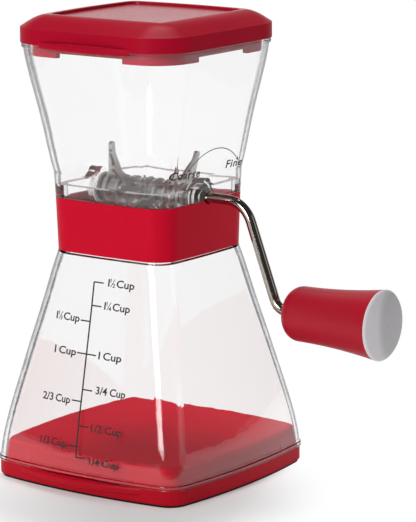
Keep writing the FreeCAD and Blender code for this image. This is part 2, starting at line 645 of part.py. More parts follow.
def grip_body():
    """Handle that flares towards its end, free to turn on the rod."""
    near, far = GRIP_START_X, GRIP_END_X
    round_x = near + GRIP_NEAR_ROUND
    knee_x = near + GRIP_NEAR_ROUND * 0.3
    knee_r = GRIP_NEAR_FACE_RADIUS + (GRIP_NEAR_RADIUS - GRIP_NEAR_FACE_RADIUS) * 0.72
    waist_r = (GRIP_NEAR_RADIUS + GRIP_FAR_RADIUS) / 2 - GRIP_WAIST_DIP
    face = vec(near, 0, GRIP_Z + GRIP_NEAR_FACE_RADIUS)
    knee = vec(knee_x, 0, GRIP_Z + knee_r)
    shoulder = vec(round_x, 0, GRIP_Z + GRIP_NEAR_RADIUS)
    waist = vec((round_x + far) / 2, 0, GRIP_Z + waist_r)
    mouth = vec(far, 0, GRIP_Z + GRIP_FAR_RADIUS)
    axis_near, axis_far = vec(near, 0, GRIP_Z), vec(far, 0, GRIP_Z)
    edges = [
        Part.makeLine(axis_near, face),
        Part.Arc(face, knee, shoulder).toShape(),
        Part.Arc(shoulder, waist, mouth).toShape(),
        Part.makeLine(mouth, axis_far),
        Part.makeLine(axis_far, axis_near),
    ]
    solid = Part.Face(Part.Wire(edges)).revolve(axis_near, X_AXIS, 360)
    bore = rod_x(ROD_RADIUS + GRIP_BORE_GAP, near, far, GRIP_Z)
    cup = rod_x(GRIP_CUP_RADIUS, far - GRIP_CUP_DEPTH, far, GRIP_Z)
    flare = Part.makeCone(GRIP_MOUTH_RADIUS, ROD_RADIUS, GRIP_MOUTH_DEPTH, axis_near, X_AXIS)
    return solid.cut(bore).cut(cup).cut(flare)


def grip_nut():
    """Push-on nut on the rod's end that keeps the grip from sliding off."""
    return ring_x(GRIP_NUT_RADIUS, ROD_RADIUS, NUT_X, NUT_X + GRIP_NUT_THICK, GRIP_Z)


def grip_cap():
    """Domed end cap with a ring that plugs into the grip."""
    low, edge = GRIP_END_X, GRIP_END_X + CAP_EDGE
    crown = edge + CAP_CHAMFER + CAP_DOME
    dome_r = GRIP_FAR_RADIUS - CAP_CHAMFER
    ball = (dome_r**2 + CAP_DOME**2) / (2 * CAP_DOME)
    half_way = math.asin(dome_r / ball) / 2
    on_ball = vec(crown - ball + ball * math.cos(half_way), 0, GRIP_Z + ball * math.sin(half_way))
    axis_low, axis_high = vec(low, 0, GRIP_Z), vec(crown, 0, GRIP_Z)
    rim_low, rim_high = [vec(x, 0, GRIP_Z + GRIP_FAR_RADIUS) for x in (low, edge)]
    dome_foot = vec(edge + CAP_CHAMFER, 0, GRIP_Z + dome_r)
    profile = [
        Part.makeLine(axis_low, rim_low),
        Part.makeLine(rim_low, rim_high),
        Part.makeLine(rim_high, dome_foot),
        Part.Arc(dome_foot, on_ball, axis_high).toShape(),
        Part.makeLine(axis_high, axis_low),
    ]
    dome = Part.Face(Part.Wire(profile)).revolve(axis_low, X_AXIS, 360)
    outer = GRIP_CUP_RADIUS - SEAT_GAP
    plug = ring_x(outer, outer - CAP_PLUG_WALL, low - CAP_PLUG_DEPTH, low, GRIP_Z)
    return dome.fuse(plug).removeSplitter()


def build():
    """Every piece by its name."""
    parts = {
        "non_slip_pad": non_slip_pad(),
        "base_lid": base_lid(),
        "jar": jar(),
        "mill_housing": mill_housing(),
        "hopper": hopper(),
        "top_lid": top_lid(),
        "coarse_comb": comb(-1, 2),
        "fine_comb": comb(1, 1),
        "comb_screws": comb_screws(),
        "crank_rod": crank_rod(),
        "retaining_clip": retaining_clip(),
        "thrust_washers": thrust_washers(),
        "drive_bush": bush(1),
        "idle_bush": bush(-1),
        "grip_body": grip_body(),
        "grip_nut": grip_nut(),
        "grip_cap": grip_cap(),
    }
    for index in range(TINE_COUNT):
        parts[f"tine_plate_{index + 1}"] = tine_plate(index)
    for index in range(TINE_COUNT + 1):
        parts[f"spacer_{index + 1}"] = spacer(index)
    return parts


os.makedirs("parts", exist_ok=True)
for name, shape in build().items():
    shape.exportStep(f"parts/{name}.step")
    print(f"{name}: {len(shape.Solids)} solids, valid {shape.isValid()}, {shape.Volume / 1000:.2f} cm3")
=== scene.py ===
"""A hand-cranked nut mill: finishes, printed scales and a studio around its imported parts."""

import math

import bmesh
import bpy
from bpy.props import FloatProperty, FloatVectorProperty, PointerProperty, StringProperty
from mathutils import Matrix, Vector
from mathutils.bvhtree import BVHTree


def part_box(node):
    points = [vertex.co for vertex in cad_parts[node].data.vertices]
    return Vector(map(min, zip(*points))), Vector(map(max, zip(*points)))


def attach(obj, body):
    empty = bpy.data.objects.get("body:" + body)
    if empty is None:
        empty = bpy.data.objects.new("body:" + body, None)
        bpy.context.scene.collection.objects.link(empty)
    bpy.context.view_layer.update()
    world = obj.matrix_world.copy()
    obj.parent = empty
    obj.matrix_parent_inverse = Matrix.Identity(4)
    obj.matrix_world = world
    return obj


bl_info = {
    "name": "Nut mill",
    "version": (1, 0, 0),
    "blender": (4, 5, 0),
    "location": "View3D > Sidebar > Nut mill",
    "description": "Finishes, print and studio for a hand-cranked nut mill",
    "category": "Add Mesh",
}

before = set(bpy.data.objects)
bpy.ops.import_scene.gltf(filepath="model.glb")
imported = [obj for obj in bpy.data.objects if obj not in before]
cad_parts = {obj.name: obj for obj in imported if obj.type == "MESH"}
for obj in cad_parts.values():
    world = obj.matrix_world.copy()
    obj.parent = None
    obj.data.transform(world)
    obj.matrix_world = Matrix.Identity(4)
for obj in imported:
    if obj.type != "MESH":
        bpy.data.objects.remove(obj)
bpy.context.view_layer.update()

MM = 0.001
WHITE = (1.0, 1.0, 1.0)

# Nodes by finish
PLATE_COUNT = 7
SPACER_COUNT = PLATE_COUNT + 1
ROTOR_PLATES = tuple(f"tine_plate_{i}" for i in range(1, PLATE_COUNT + 1))
ROTOR_SPACERS = tuple(f"spacer_{i}" for i in range(1, SPACER_COUNT + 1))
STAMPED_STEEL = ("coarse_comb", "fine_comb") + ROTOR_PLATES
TURNED_STEEL = ("comb_screws", "retaining_clip", "thrust_washers", "grip_nut") + ROTOR_SPACERS

# Cup scale on the jar's front wall: height above the table, text, where the label starts and ends
# across the wall, and how far its foot lies below its tick
CUP_MARKS = (
    (15.1 * MM, "1/4", "", 5.6 * MM, 19.9 * MM, 2.0 * MM),
    (27.6 * MM, "1/2", "", 4.9 * MM, 20.0 * MM, 1.5 * MM),
    (41.9 * MM, "3/4", "", 4.7 * MM, 19.2 * MM, 0.9 * MM),
    (55.8 * MM, "1", "", 3.6 * MM, 15.0 * MM, 1.2 * MM),
    (75.0 * MM, "1", "1/4", 3.1 * MM, 15.9 * MM, 0.9 * MM),
    (84.3 * MM, "1", "1/2", 3.6 * MM, 16.6 * MM, 1.0 * MM),
    (19.2 * MM, "1/3", "", -20.7 * MM, -6.7 * MM, 1.0 * MM),
    (37.1 * MM, "2/3", "", -22.2 * MM, -7.6 * MM, 1.5 * MM),
    (55.8 * MM, "1", "", -19.35 * MM, -7.95 * MM, 1.3 * MM),
    (68.6 * MM, "1", "1/3", -20.8 * MM, -8.5 * MM, 0.8 * MM),
)
SCALE_BOTTOM = min(mark[0] for mark in CUP_MARKS)
SCALE_TOP = max(mark[0] for mark in CUP_MARKS)
SCALE_FOOT_X = -1.1 * MM
SCALE_LEAN = -0.035
TICK_LENGTH = 4.9 * MM
TICK_WIDTH_SHARE = 0.75

# Spaces in a label, as shares of its capitals' height
SPACE_AFTER_FIGURE = 0.42
SPACE_AFTER_FRACTION = 0.18
SPACE_BEFORE_FRACTION = 0.10

# A label's small fraction: its figures' height, how far the upper one stands up and the lower one
# hangs down, and its bar's width and overhang, as shares of the capitals' height
FRACTION_HEIGHT = 0.52
FRACTION_RISE = 0.56
FRACTION_DROP = 0.08
BAR_WIDTH = 0.08
BAR_OVERHANG = 0.04

# From the upper figure to the bar's ends and the lower figure, as shares of a small figure's height
BAR_FOOT_SHIFT = 0.15
BAR_HEAD_SHIFT = 0.95
LOWER_FIGURE_SHIFT = 0.42

# Grind marks on the hopper's wall above the crank
ARROW_CENTRE_Y = 2.2 * MM
ARROW_CENTRE_Z = 113.3 * MM
ARROW_RADIUS = 24.2 * MM
ARROW_START = math.radians(132)
ARROW_END = math.radians(49)
ARROW_STEPS = 40
ARROW_WIDTH = 0.35 * MM
ARROW_HEAD = 2.2 * MM
HEAD_HALF_WIDTH_SHARE = 0.36
HEAD_NOTCH_SHARE = 0.8
COARSE_PLACE = (-25.6 * MM, 127.9 * MM)
COARSE_WIDTH = 18.8 * MM
COARSE_SLOPE = -0.04
FINE_PLACE = (10.9 * MM, 128.1 * MM)
FINE_WIDTH = 12.2 * MM
FINE_SLOPE = -0.03
GRIND_SLANT = 0.1
GRIND_SPACING = 1.15

# Ink, and the outline of its letters
INK_GAP = 0.03 * MM
INK_THICKNESS = 0.04 * MM
INK_STEP = 0.8 * MM
INK_ROUGHNESS = 0.45
MOTTLE_SIZE = 0.4 * MM
MOTTLE_TONE = 0.015
MOTTLE_ROUGHNESS = 0.1
LETTER_WEIGHT = 0.018
LETTER_CURVE_STEPS = 3
LETTER_WELD = 1e-5

# Moulded plastic: flow marks and a fine grain
PLASTIC_IOR = 1.5
FLOW_SIZE = 18 * MM
FLOW_TONE = 0.88
FLOW_ROUGHNESS = 0.10
GRAIN_SIZE = 0.25 * MM
GRAIN_DEPTH = 0.006 * MM
GRAIN_ROUGHNESS = 0.06
COAT_ROUGHNESS = 0.32

# Roughness and gloss of each moulded piece
LID_FINISH = (0.36, 0.05)
HOUSING_FINISH = (0.38, 0.07)
BASE_FINISH = (0.48, 0.01)
GRIP_FINISH = (0.42, 0.32)
CAP_FINISH = (0.45, 0.40)
BUSH_FINISH = (0.40, 0.45)

# The lid's sunk panel, blasted and glossier in small clouds
PANEL_HALF = 29.6 * MM
PANEL_EDGE = 0.3 * MM
PANEL_CLOUD_SIZE = 1.4 * MM
PANEL_GLOSS_LEAST = 0.30
PANEL_GLOSS_SPREAD = 0.80
PANEL_GRIT_SIZE = 0.5 * MM
PANEL_GRIT_DEPTH = 0.03 * MM

# The base's rim, outside the jar, up to the jar's foot
RIM_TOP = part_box("jar")[0][2]
RIM_GLOSS = 0.25
RIM_GLOSS_FADE = (RIM_TOP + 0.2 * MM, RIM_TOP - 0.4 * MM)

# Painted shade on the grip's cap, a darker disc to one side of its middle in place of the shading
# of its face: its middle and radii across and up, where it fades as a share of its radius squared,
# how dark it goes, and its share against that of the flow marks
PAINTED_SHADE_MIDDLE = (6.5 * MM, 75.0 * MM)
PAINTED_SHADE_RADII = (11 * MM, 14.5 * MM)
PAINTED_SHADE_FADE = (1.5, 0.6)
PAINTED_SHADE_TONE = 0.66
PAINTED_SHADE_SHARE = 0.8

# Clear plastic, and the dark lines painted along its round corners, painted reflection of the dark
# room in place of what refraction shows there: how far they reach from a corner's middle, and
# between which facing values of Layer Weight they come and go
CLEAR_IOR = 1.49
CLEAR_ROUGHNESS = 0.02
CLEAR_SHADOW = (0.93, 0.93, 0.93)
RIPPLE_SIZE = 9 * MM
RIPPLE_DEPTH = 0.05 * MM
CORNER_REACH = 16 * MM
CORNER_FULL_REACH = 0.4 * CORNER_REACH
OUTER_LINE_COMES = (0.72, 0.95)
OUTER_LINE_SHARE = 0.25
INNER_LINE_COMES = (0.19, 0.24)
INNER_LINE_GOES = (0.31, 0.26)
INNER_LINE_SHARE = 0.7

# Steel: fine streaks and soft clouds, and how the streaks are drawn out along each axis
ROD_ROUGHNESS = 0.12
STAMPED_ROUGHNESS = 0.30
TURNED_ROUGHNESS = 0.24
EVEN_STREAKS = (1.0, 1.0, 1.0)
ROLLED_STREAKS = (1.0, 0.15, 1.0)
STEEL_TONE = 0.72
STREAK_SIZE = 0.35 * MM
STREAK_DEPTH = 0.004 * MM
STREAK_SHARE = 0.3
STREAK_ROUGHNESS = 0.12
CLOUD_SIZE = 6 * MM
CLOUD_SHARE = 0.6
CLOUD_ROUGHNESS = 0.08

# Rubber
RUBBER_ROUGHNESS = 0.75
RUBBER_GLOSS = 0.1
PEBBLE_SIZE = 0.5 * MM
PEBBLE_DEPTH = 0.02 * MM
PEBBLE_ROUGHNESS = 0.15
DUST_SIZE = 7 * MM
DUST_TONE = 0.008

# Floor, in metres: it keeps its shadow round one place and is plain white further off
FLOOR_HALF = 6.0
SHADOW_MIDDLE = (0.015, -0.035, 0.0)
SHADOW_FADE = (0.045, 0.085)
WHITE_IN_SHADOW = 0.20
WHITE_MIRRORED = 0.25

# How white the room stays where a view through clear plastic is mirrored inside it
WHITE_AFTER_MIRROR = 0.35

# The room in what is mirrored: dark, and bright low down beyond the mill
ROOM_DARK = 0.05
ROOM_BRIGHT_ACROSS = (0.4, 0.95)
ROOM_BRIGHT_UP = (0.6, 0.25)

# Lamps, in metres: where each hangs, its width and its height
LAMP_AIM = (0.0, 0.0, 0.10)
KEY_LAMP = ((-0.04, -1.25, 0.48), 0.45, 0.6)
FILL_LAMP = ((1.10, 0.35, 0.45), 0.5, 0.8)
TOP_LAMP = ((-0.25, 0.36, 1.15), 0.5, 0.5)

# Camera: metres, and millimetres for lens and sensor
CAMERA_AIM = Vector((0.01914, 0.01491, 0.08749))
CAMERA_AZIMUTH = math.radians(35.901)
CAMERA_ELEVATION = math.radians(11.470)
CAMERA_ROLL = math.radians(-0.406)
CAMERA_DISTANCE = 1.1676
CAMERA_LENS = 244.8
CAMERA_SENSOR = 36.0
CAMERA_REACH = 50.0


def linear(shown):
    """The linear level of a channel that a display shows at a level from 0 to 1, by sRGB."""
    return ((shown + 0.055) / 1.055) ** 2.4 if shown > 0.04045 else shown / 12.92


def paint(red, green, blue):
    """The linear colour that a display shows as these levels from 0 to 255."""
    return tuple(linear(level / 255) for level in (red, green, blue))


def darker(colour, share):
    """What a share of a colour's light looks like."""
    return tuple(share * level for level in colour)


def lighter(colour, step):
    """A colour with a little grey light added."""
    return tuple(level + step for level in colour)


class Value:
    """A shader socket that Python's operators work on."""

    def __init__(self, tree, socket):
        self.tree = tree
        self.socket = socket

    def math(self, operation, *values):
        """The result of one Math node."""
        node = self.tree.nodes.new("ShaderNodeMath")
        node.operation = operation
        for socket, value in zip(node.inputs, values):
            feed(self.tree, socket, value)
        return Value(self.tree, node.outputs[0])

    def __add__(self, other):
        return self.math("ADD", self, other)

    def __radd__(self, other):
        return self.math("ADD", other, self)

    def __sub__(self, other):
        return self.math("SUBTRACT", self, other)

    def __rsub__(self, other):
        return self.math("SUBTRACT", other, self)

    def __mul__(self, other):
        return self.math("MULTIPLY", self, other)

    def __rmul__(self, other):
        return self.math("MULTIPLY", other, self)

    def __truediv__(self, other):
        return self.math("DIVIDE", self, other)

    def size(self):
        """The value without its sign."""
        return self.math("ABSOLUTE", self)

    def below(self, limit):
        """1 where the value is under a limit, and 0 elsewhere."""
        return self.math("LESS_THAN", self, limit)


def feed(tree, socket, value):
    """Links a shader value to a socket, or sets a plain one on it."""
    if isinstance(value, Value):
        tree.links.new(value.socket, socket)
    elif hasattr(value, "__len__") and len(value) == 3 and socket.type == "RGBA":
        socket.default_value = (*value, 1.0)
    else:
        socket.default_value = value


class Finish:
    """The node tree of a material or of the world."""

    def __init__(self, owner):
        owner.use_nodes = True
        self.tree = owner.node_tree
        self.tree.nodes.clear()

    def add(self, kind, settings=None, sockets=None):
        """Adds a node: its settings first, then the values or links of its sockets.

        Gives its outputs by name.
        """
        node = self.tree.nodes.new("ShaderNode" + kind)
        for name, setting in (settings or {}).items():
            setattr(node, name, setting)
        inputs = {socket.identifier: socket for socket in node.inputs}
        for socket in node.inputs:
            inputs.setdefault(socket.name, socket)
        for name, value in (sockets or {}).items():
            feed(self.tree, inputs[name], value)
        outputs = {socket.identifier: Value(self.tree, socket) for socket in node.outputs}
        for socket in node.outputs:
            outputs.setdefault(socket.name, Value(self.tree, socket))
        return outputs

    def place(self):
        """Where a point lies on its part, in metres."""
        return self.add("TexCoord")["Object"]

    def split(self, vector):
        """The X, Y and Z of a place or a direction."""
        return self.add("SeparateXYZ", {}, {"Vector": vector})

    def noise(self, size, detail=2.0, place=None):
        """Cloudy noise from 0 to 1 with features of that size in metres."""
        return self.add("TexNoise", {}, {
            "Vector": place or self.place(), "Scale": 1 / size, "Detail": detail})["Fac"]

    def ease(self, value, low, high):
        """Rises smoothly from 0 at low to 1 at high, and low may be the greater."""
        return self.add("MapRange", {"interpolation_type": "SMOOTHSTEP"}, {
            "Value": value, "From Min": low, "From Max": high})["Result"]

    def blend(self, share, first, second):
        """A colour between two, by a share from 0 to 1."""
        return self.add("Mix", {"data_type": "RGBA"}, {
            "Factor_Float": share, "A_Color": first, "B_Color": second})["Result_Color"]

    def bump(self, height, depth):
        """The surface's direction where that height, times depth in metres, stands on it."""
        return self.add("Bump", {}, {
            "Strength": 1.0, "Distance": depth, "Height": height})["Normal"]

    def principled(self, sockets):
        """A surface of plastic, metal, rubber or ink."""
        return self.add("BsdfPrincipled", {}, sockets)["BSDF"]

    def choose(self, share, first, second):
        """A surface between two, by a share from 0 to 1."""
        return self.add("MixShader", {}, {
            "Fac": share, "Shader": first, "Shader_001": second})["Shader"]

    def show(self, surface):
        """Gives the material its surface."""
        self.add("OutputMaterial", {}, {"Surface": surface})


def new_finish(name):
    material = bpy.data.materials.new(name)
    return material, Finish(material)


def wear(nodes, material):
    """Gives CAD nodes a material."""
    for name in nodes:
        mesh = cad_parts[name].data
        mesh.materials.clear()
        mesh.materials.append(material)


def moulded_plastic(name, colour, roughness, gloss, coat=None, relief=None, painted_shade=None):
    """Opaque moulded plastic: a fine grain, faint flow marks and uneven gloss.

    coat and relief take the finish, and give a share of extra gloss and a height in metres.
    The last argument takes the finish too, and gives a share of painted shade: a darker colour
    put in place of shading.
    """
    material, finish = new_finish(name)
    flow = finish.noise(FLOW_SIZE, detail=3.0)
    grain = finish.noise(GRAIN_SIZE)
    height = grain * GRAIN_DEPTH
    if relief:
        height = height + relief(finish)
    if painted_shade:
        # Painted shade: the cap's darker disc, weighed against the flow marks
        share = PAINTED_SHADE_SHARE * painted_shade(finish) + (1 - PAINTED_SHADE_SHARE) * flow
        shade = finish.blend(share, colour, darker(colour, PAINTED_SHADE_TONE))
    else:
        shade = finish.blend(flow, colour, darker(colour, FLOW_TONE))
    uneven = FLOW_ROUGHNESS * (flow - 0.5) + GRAIN_ROUGHNESS * (grain - 0.5)
    sockets = {
        "Base Color": shade,
        "Roughness": roughness + uneven,
        "IOR": PLASTIC_IOR,
        "Specular IOR Level": gloss,
        "Normal": finish.bump(height, 1.0),
    }
    if coat:
        sockets["Coat Weight"] = coat(finish)
        sockets["Coat Roughness"] = COAT_ROUGHNESS
    finish.show(finish.principled(sockets))
    return material


def sunk_panel(finish):
    """1 on the lid's sunk panel, 0 elsewhere."""
    place = finish.split(finish.place())
    across, along = (
        finish.ease(place[axis].size(), PANEL_HALF + PANEL_EDGE, PANEL_HALF - PANEL_EDGE)
        for axis in ("X", "Y"))
    return across * along


def panel_gloss(finish):
    """The panel is blasted, and catches the light more than the smooth rim round it."""
    clouds = finish.noise(PANEL_CLOUD_SIZE, detail=3.0)
    return sunk_panel(finish) * (PANEL_GLOSS_LEAST + PANEL_GLOSS_SPREAD * clouds)


def panel_grit(finish):
    """The height in metres of the blasted panel's fine grit."""
    return sunk_panel(finish) * finish.noise(PANEL_GRIT_SIZE) * PANEL_GRIT_DEPTH


def rim_gloss(finish):
    """The base's outer rim is glossier than the plug that stands in the jar."""
    height = finish.split(finish.place())["Z"]
    return finish.ease(height, *RIM_GLOSS_FADE) * RIM_GLOSS


def cap_painted_shade(finish):
    """Painted shade: the grip's cap darker on a soft disc to one side of its middle."""
    place = finish.split(finish.place())
    across, up = (
        (place[axis] - middle) / radius
        for axis, middle, radius in zip(("Y", "Z"), PAINTED_SHADE_MIDDLE, PAINTED_SHADE_RADII))
    return finish.ease(across * across + up * up, *PAINTED_SHADE_FADE)


def clear_plastic(name, clear, edge):
    """Clear moulded plastic; dark lines of painted reflection where its round corners turn away."""
    material, finish = new_finish(name)
    corner = finish.split(finish.place())
    off_corner = (corner["X"].size() - corner["Y"].size()).size()
    at_corner = finish.ease(off_corner, CORNER_REACH, CORNER_FULL_REACH)
    facing = finish.add("LayerWeight", {}, {"Blend": 0.5})["Facing"]
    inside = finish.add("NewGeometry")["Backfacing"]
    outer_line = finish.ease(facing, *OUTER_LINE_COMES) * OUTER_LINE_SHARE
    comes_and_goes = finish.ease(facing, *INNER_LINE_COMES) * finish.ease(facing, *INNER_LINE_GOES)
    inner_line = comes_and_goes * INNER_LINE_SHARE
    # Painted reflection: grey lines on the corners stand in for the dark room seen in them
    line = at_corner * (outer_line + inside * (inner_line - outer_line))
    plastic = finish.principled({
        "Base Color": clear,
        "Roughness": CLEAR_ROUGHNESS,
        "IOR": CLEAR_IOR,
        "Transmission Weight": 1.0,
        "Normal": finish.bump(finish.noise(RIPPLE_SIZE, detail=1.0), RIPPLE_DEPTH),
    })
    grey = finish.add("BsdfTransparent", {}, {"Color": edge})["BSDF"]
    lit_through = finish.add("BsdfTransparent", {}, {"Color": CLEAR_SHADOW})["BSDF"]
    shadow = finish.add("LightPath")["Is Shadow Ray"]
    finish.show(finish.choose(shadow, finish.choose(line, plastic, grey), lit_through))
    return material


def polished_steel(name, colour, roughness, streaks_along):
    """Steel with soft clouds, and fine streaks that may be drawn out along an axis."""
    material, finish = new_finish(name)
    place = finish.place()
    stretched = finish.add("Mapping", {}, {"Vector": place, "Scale": streaks_along})["Vector"]
    streaks = finish.noise(STREAK_SIZE, detail=4.0, place=stretched)
    cloud = finish.noise(CLOUD_SIZE, place=place)
    share = cloud * CLOUD_SHARE + streaks * STREAK_SHARE
    uneven = STREAK_ROUGHNESS * (streaks - 0.5) + CLOUD_ROUGHNESS * (cloud - 0.5)
    finish.show(finish.principled({
        "Base Color": finish.blend(share, colour, darker(colour, STEEL_TONE)),
        "Metallic": 1.0,
        "Roughness": roughness + uneven,
        "Normal": finish.bump(streaks, STREAK_DEPTH),
    }))
    return material


def soft_rubber(name, colour):
    """Black rubber with a matt pebbled skin."""
    material, finish = new_finish(name)
    pebble = finish.noise(PEBBLE_SIZE, detail=3.0)
    dust = finish.noise(DUST_SIZE, detail=3.0)
    finish.show(finish.principled({
        "Base Color": finish.blend(dust, colour, lighter(colour, DUST_TONE)),
        "Roughness": RUBBER_ROUGHNESS + PEBBLE_ROUGHNESS * (pebble - 0.5),
        "Specular IOR Level": RUBBER_GLOSS,
        "Normal": finish.bump(pebble, PEBBLE_DEPTH),
    }))
    return material


def printing_ink(name, colour):
    """Screen-printed ink, thin and slightly uneven."""
    material, finish = new_finish(name)
    mottle = finish.noise(MOTTLE_SIZE)
    finish.show(finish.principled({
        "Base Color": finish.blend(mottle, colour, lighter(colour, MOTTLE_TONE)),
        "Roughness": INK_ROUGHNESS + MOTTLE_ROUGHNESS * mottle,
    }))
    return material


class Wall:
    """An outer wall of a CAD node, seen from outside along an axis."""

    def __init__(self, node, inward, across):
        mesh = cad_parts[node].data
        mesh.calc_loop_triangles()
        corners = [vertex.co for vertex in mesh.vertices]
        triangles = [tuple(triangle.vertices) for triangle in mesh.loop_triangles]
        self.tree = BVHTree.FromPolygons(corners, triangles, all_triangles=True)
        self.inward = Vector(inward)
        self.across = Vector(across)

    def point(self, across, height, lift):
        """The point on the wall at a place across it and a height, lifted off it."""
        outside = self.across * across + Vector((0, 0, height)) - self.inward
        hit, normal, _, _ = self.tree.ray_cast(outside, self.inward)
        if hit is None:
            raise ValueError(f"the print runs off its wall at {across:.4f}, {height:.4f}")
        if normal.dot(self.inward) > 0:
            normal = -normal
        return hit + normal * lift


class Drawing:
    """Flat shapes to print: corners, each a place across and up, and faces between them."""

    def __init__(self):
        self.corners = []
        self.faces = []

    def add(self, corners, faces):
        """Adds a shape whose faces count its corners from 0."""
        start = len(self.corners)
        self.corners += corners
        self.faces += [tuple(start + index for index in face) for face in faces]

    def stroke(self, path, width):
        """A line of even width along a path."""
        sides = []
        for index, point in enumerate(path):
            before = path[max(index - 1, 0)]
            after = path[min(index + 1, len(path) - 1)]
            run = (after - before).normalized()
            aside = Vector((-run.y, run.x)) * (width / 2)
            sides += [point - aside, point + aside]
        faces = [(i, i + 2, i + 3, i + 1) for i in range(0, len(sides) - 2, 2)]
        self.add(sides, faces)

    def straight(self, start, end, width):
        """A straight line in short steps, so that it can follow a curved wall."""
        steps = max(2, round((end - start).length / INK_STEP))
        self.stroke([start.lerp(end, i / steps) for i in range(steps + 1)], width)

    def arrow_head(self, foot, run, length):
        """A filled head that starts at foot and points along run."""
        run = run.normalized()
        tip = foot + run * length
        aside = Vector((-run.y, run.x)) * (length * HEAD_HALF_WIDTH_SHARE)
        back = tip - run * length
        notch = tip - run * (length * HEAD_NOTCH_SHARE)
        self.add([tip, back - aside, notch, back + aside], [(0, 2, 1), (0, 3, 2)])

    def letters(self, text, place, cap_height, width=None, slope=0.0, slant=0.0, spacing=1.0):
        """Text whose lower left corner is at place, stretched to a width if one is given.

        Gives how far across it reaches.
        """
        corners, faces = glyphs(text, cap_height, slant, spacing)
        if width:
            stretch = width / max(corner.x for corner in corners)
            corners = [Vector((corner.x * stretch, corner.y)) for corner in corners]
        corners = [Vector((place.x + corner.x, place.y + corner.y + corner.x * slope))
                   for corner in corners]
        self.add(corners, faces)
        return max(corner.x for corner in corners)


def glyphs(text, cap_height, slant, spacing):
    """The corners and faces of a line of text that starts at 0, 0, at its real size."""
    corners, faces = text_mesh(text, slant, spacing)
    capital, _ = text_mesh("H")
    scale = cap_height / max(corner.y for corner in capital)
    left = min(corner.x for corner in corners)
    return [Vector((corner.x - left, corner.y)) * scale for corner in corners], faces


def text_mesh(text, slant=0.0, spacing=1.0):
    """The corners and faces of a line of text in Blender's own type."""
    curve = bpy.data.curves.new("lettering", "FONT")
    curve.body = text
    curve.shear = slant
    curve.space_character = spacing
    curve.resolution_u = LETTER_CURVE_STEPS
    curve.offset = LETTER_WEIGHT
    holder = bpy.data.objects.new("lettering", curve)
    mesh = bpy.data.meshes.new_from_object(holder)
    shape = bmesh.new()
    shape.from_mesh(mesh)
    bmesh.ops.remove_doubles(shape, verts=shape.verts, dist=LETTER_WELD)
    shape.verts.index_update()
    corners = [Vector(vertex.co.xy) for vertex in shape.verts]
    faces = [tuple(vertex.index for vertex in face.verts) for face in shape.faces]
    shape.free()
    bpy.data.meshes.remove(mesh)
    bpy.data.objects.remove(holder)
    bpy.data.curves.remove(curve)
    return corners, faces


def print_on(name, drawing, wall, body, material):
    """Lays a drawing on a wall as a thin closed layer of ink."""
    outer, inner = (
        [wall.point(corner.x, corner.y, lift) for corner in drawing.corners]
        for lift in (INK_GAP + INK_THICKNESS, INK_GAP))
    count = len(outer)
    faces = list(drawing.faces)
    faces += [tuple(count + index for index in reversed(face)) for face in drawing.faces]
    edges = {}
    for face in drawing.faces:
        for first, second in zip(face, face[1:] + face[:1]):
            edges.setdefault(frozenset((first, second)), []).append((first, second))
    for uses in edges.values():
        if len(uses) == 1:
            first, second = uses[0]
            faces.append((second, first, count + first, count + second))
    mesh = bpy.data.meshes.new(name)
    mesh.from_pydata(outer + inner, [], faces)
    mesh.validate()
    shape = bmesh.new()
    shape.from_mesh(mesh)
    bmesh.ops.recalc_face_normals(shape, faces=shape.faces)
    shape.to_mesh(mesh)
    shape.free()
    mesh.materials.append(material)
    piece = bpy.data.objects.new(name, mesh)
    bpy.context.scene.collection.objects.link(piece)
    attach(piece, body)


def scale_point(height):
    """Where the scale's line stands on the front wall at a height."""
    return Vector((SCALE_FOOT_X + (height - SCALE_BOTTOM) * SCALE_LEAN, height))


def cup_label(whole, part, cap_height):
    """One label of the cup scale, from its lower left corner at 0, 0, and its width."""
    label = Drawing()
    reach = label.letters(whole, Vector((0, 0)), cap_height)
    space = SPACE_AFTER_FIGURE
    if part:
        top, bottom = part.split("/")
        small = cap_height * FRACTION_HEIGHT
        start = reach + cap_height * SPACE_BEFORE_FRACTION
        end = label.letters(top, Vector((start, cap_height * FRACTION_RISE)), small)
        bar_foot = Vector((start + small * BAR_FOOT_SHIFT, -cap_height * BAR_OVERHANG))
        bar_head = Vector((end + small * BAR_HEAD_SHIFT, cap_height * (1 + BAR_OVERHANG)))
        label.stroke([bar_foot, bar_head], cap_height * BAR_WIDTH)
        lower = Vector((end + small * LOWER_FIGURE_SHIFT, -cap_height * FRACTION_DROP))
        reach = label.letters(bottom, lower, small)
        space = SPACE_AFTER_FRACTION
    reach = label.letters("Cup", Vector((reach + cap_height * space, 0)), cap_height)
    return label, reach


